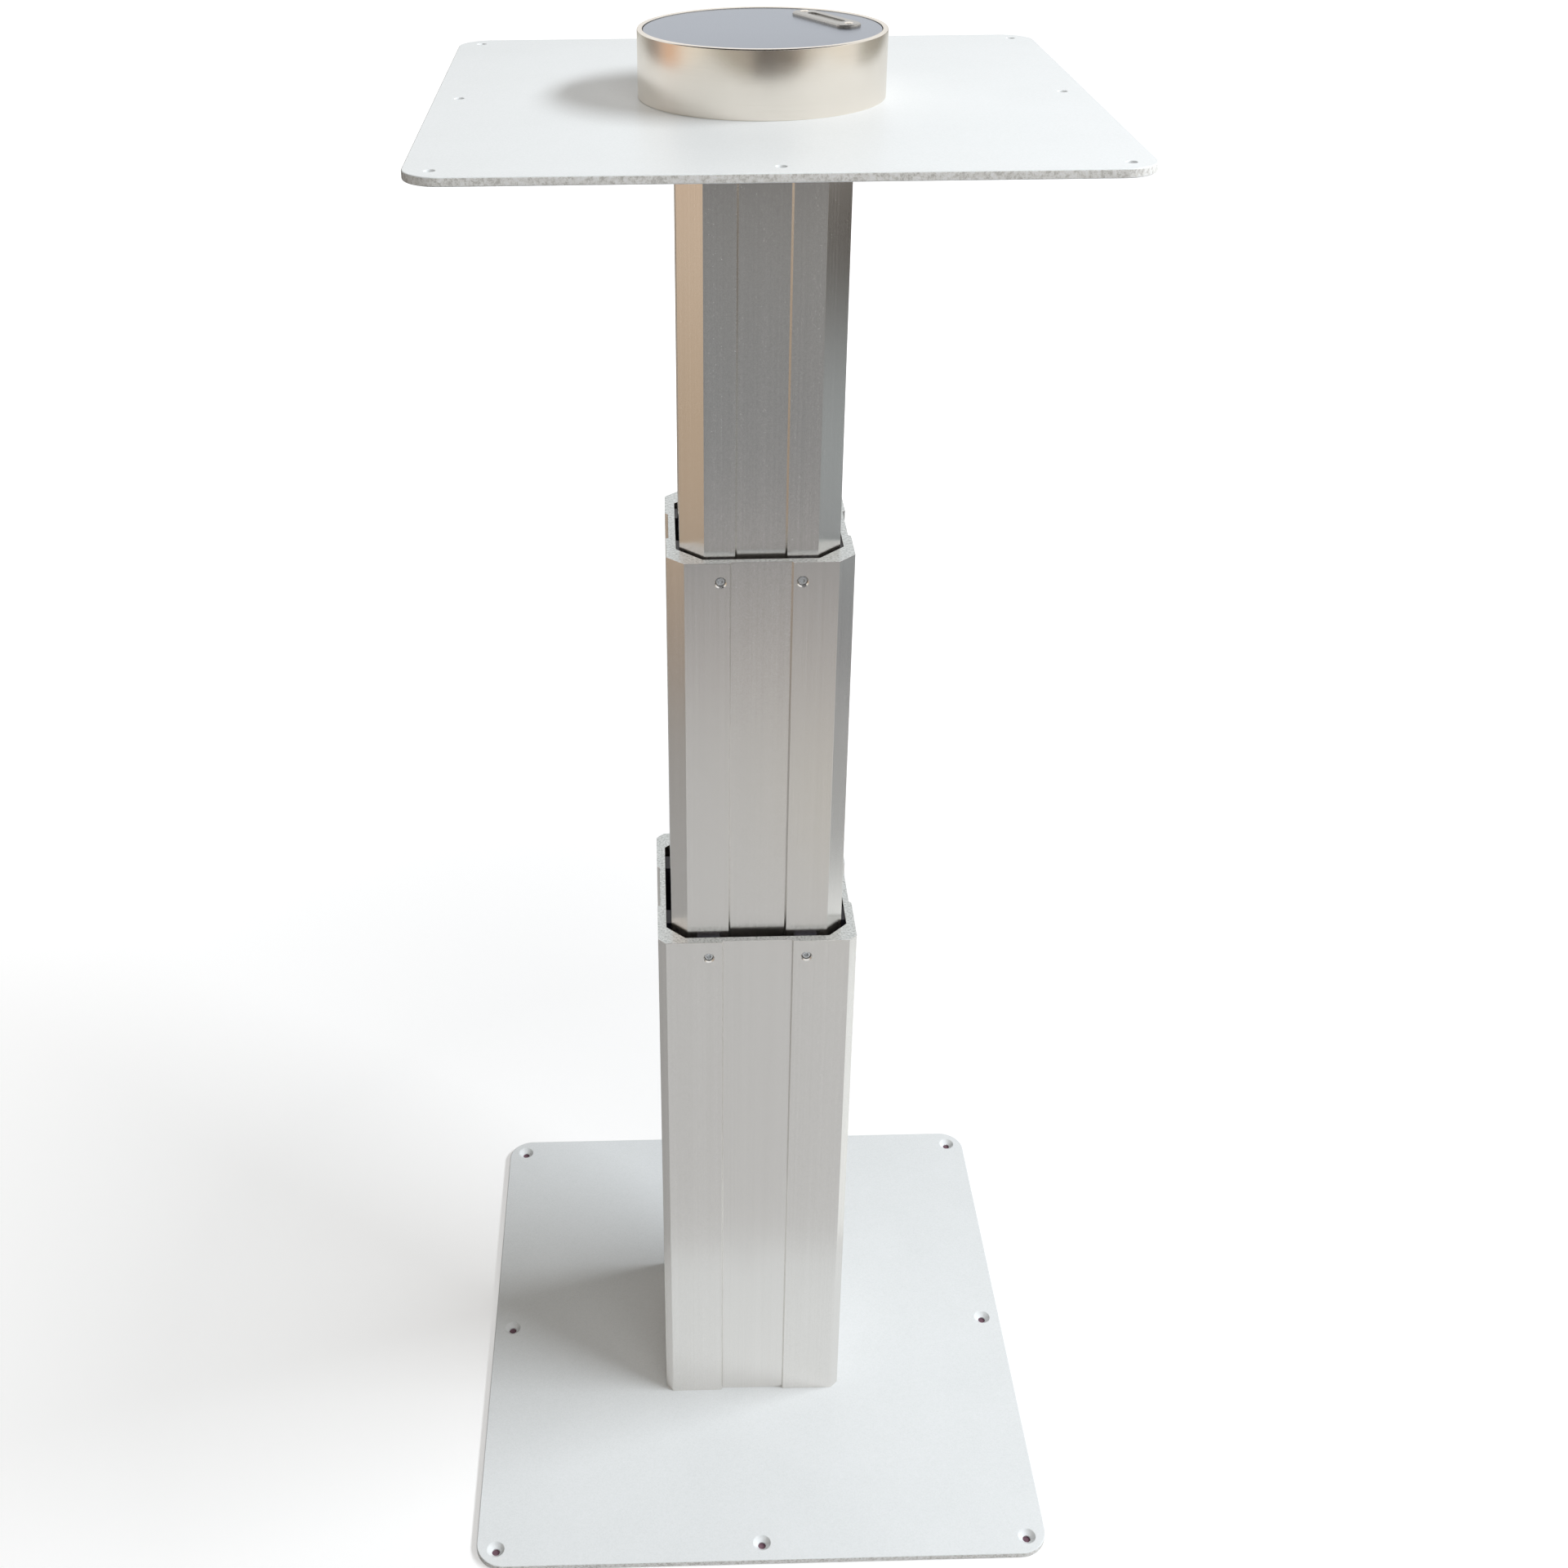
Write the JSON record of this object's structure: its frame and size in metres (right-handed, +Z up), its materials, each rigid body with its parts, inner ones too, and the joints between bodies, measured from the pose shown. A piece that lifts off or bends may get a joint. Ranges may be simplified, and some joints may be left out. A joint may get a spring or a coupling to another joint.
{
  "type": "electric lifting column",
  "caption": "Telescopic electric lifting column of nested aluminium tubes between a floor plate and a square table plate with a round lidded service ring.",
  "frame": {"origin": "centre of the floor plate's underside, where the column stands on the floor", "axes": "+Z up along the column, +X and +Y along the plates' sides, the lid's pull on the +X side"},
  "size_m": [0.35, 0.37, 0.8627],
  "materials": {
    "powder_coated_steel": "white fine-texture powder coat, satin",
    "anodised_aluminium": "extruded, brushed along its length and clear anodised, satin",
    "milled_aluminium": "milled",
    "zinc_plated_steel": "zinc plated",
    "ground_steel": "ground and lightly oiled",
    "black_rubber": "moulded",
    "black_acetal": "moulded, slightly waxy",
    "bearing_bronze": "turned",
    "polished_stainless": "polished",
    "satin_stainless": "bead blasted, matt"
  },
  "bodies": {
    "lower": {"base_plate": "powder_coated_steel", "lower_tube": "anodised_aluminium", "column_screws": "zinc_plated_steel", "base_screw": "ground_steel", "base_screw_bolts": "zinc_plated_steel", "lower_guide_pads": "black_acetal", "lower_pad_screws": "zinc_plated_steel"},
    "middle": {"middle_tube": "anodised_aluminium", "middle_guide_pads": "black_acetal", "middle_pad_screws": "zinc_plated_steel", "middle_shoes": "black_acetal", "middle_carrier": "milled_aluminium", "middle_carrier_screws": "zinc_plated_steel", "screw_tube_bearing": "ground_steel"},
    "screw_tube": {"screw_tube": "ground_steel", "screw_tube_nut": "bearing_bronze", "hex_coupling": "bearing_bronze", "screw_tube_circlip": "zinc_plated_steel"},
    "upper": {"upper_tube": "anodised_aluminium", "upper_shoes": "black_acetal", "nut_carrier": "milled_aluminium", "nut_carrier_screws": "zinc_plated_steel", "lift_nut": "bearing_bronze", "lift_nut_screws": "zinc_plated_steel", "top_plate": "powder_coated_steel", "top_plate_screws": "zinc_plated_steel", "cable_grommet": "black_rubber", "motor_can": "zinc_plated_steel", "motor_end_cap": "black_acetal", "motor_screws": "zinc_plated_steel", "gearbox_ring": "ground_steel", "gearbox_cover": "ground_steel", "gearbox_screws": "zinc_plated_steel", "output_bearing": "ground_steel", "service_ring": "polished_stainless", "service_ring_screws": "zinc_plated_steel"},
    "drive": {"planet_carrier": "ground_steel", "drive_shaft": "ground_steel"},
    "motor_shaft": {"motor_shaft": "ground_steel"},
    "planet_1": {"planet_gear_1": "bearing_bronze"},
    "planet_2": {"planet_gear_2": "bearing_bronze"},
    "planet_3": {"planet_gear_3": "bearing_bronze"},
    "lid": {"lid": "satin_stainless", "lid_pull": "polished_stainless", "lid_pull_rivets": "polished_stainless"}
  },
  "joints": [
    {"name": "lower_stage", "type": "slide", "parent": "lower", "child": "middle", "axis": [0, 0, 1], "range_m": [-0.21, 0]},
    {"name": "upper_stage", "type": "slide", "parent": "middle", "child": "upper", "axis": [0, 0, 1], "range_m": [-0.21, 0]},
    {"name": "screw_tube_spin", "type": "hinge", "parent": "middle", "child": "screw_tube", "pos_m": [0, 0, 0.36], "axis": [0, 0, 1], "range_deg": [-7561, 0]},
    {"name": "drive_spin", "type": "hinge", "parent": "upper", "child": "drive", "pos_m": [0, 0, 0.75], "axis": [0, 0, 1], "range_deg": [-7561, 0]},
    {"name": "motor_spin", "type": "hinge", "parent": "upper", "child": "motor_shaft", "pos_m": [0, 0, 0.79], "axis": [0, 0, 1], "range_deg": [-37802, 0]},
    {"name": "planet_1_spin", "type": "hinge", "parent": "drive", "child": "planet_1", "pos_m": [0.015, 0, 0.7605], "axis": [0, 0, 1], "range_deg": [0, 20162]},
    {"name": "planet_2_spin", "type": "hinge", "parent": "drive", "child": "planet_2", "pos_m": [-0.0075, 0.01299, 0.7605], "axis": [0, 0, 1], "range_deg": [0, 20162]},
    {"name": "planet_3_spin", "type": "hinge", "parent": "drive", "child": "planet_3", "pos_m": [-0.0075, -0.01299, 0.7605], "axis": [0, 0, 1], "range_deg": [0, 20162]},
    {"name": "lid_lift", "type": "slide", "parent": "upper", "child": "lid", "axis": [0, 0, 1], "range_m": [0, 0.06]}
  ],
  "couplings": [
    {"joint": "upper_stage", "follows": "lower_stage", "ratio": 1},
    {"joint": "screw_tube_spin", "follows": "lower_stage", "rad_per_m": 628.32},
    {"joint": "drive_spin", "follows": "lower_stage", "rad_per_m": 628.32},
    {"joint": "motor_spin", "follows": "lower_stage", "rad_per_m": 3141.6},
    {"joint": "planet_1_spin", "follows": "lower_stage", "rad_per_m": -1675.5},
    {"joint": "planet_2_spin", "follows": "lower_stage", "rad_per_m": -1675.5},
    {"joint": "planet_3_spin", "follows": "lower_stage", "rad_per_m": -1675.5}
  ]
}
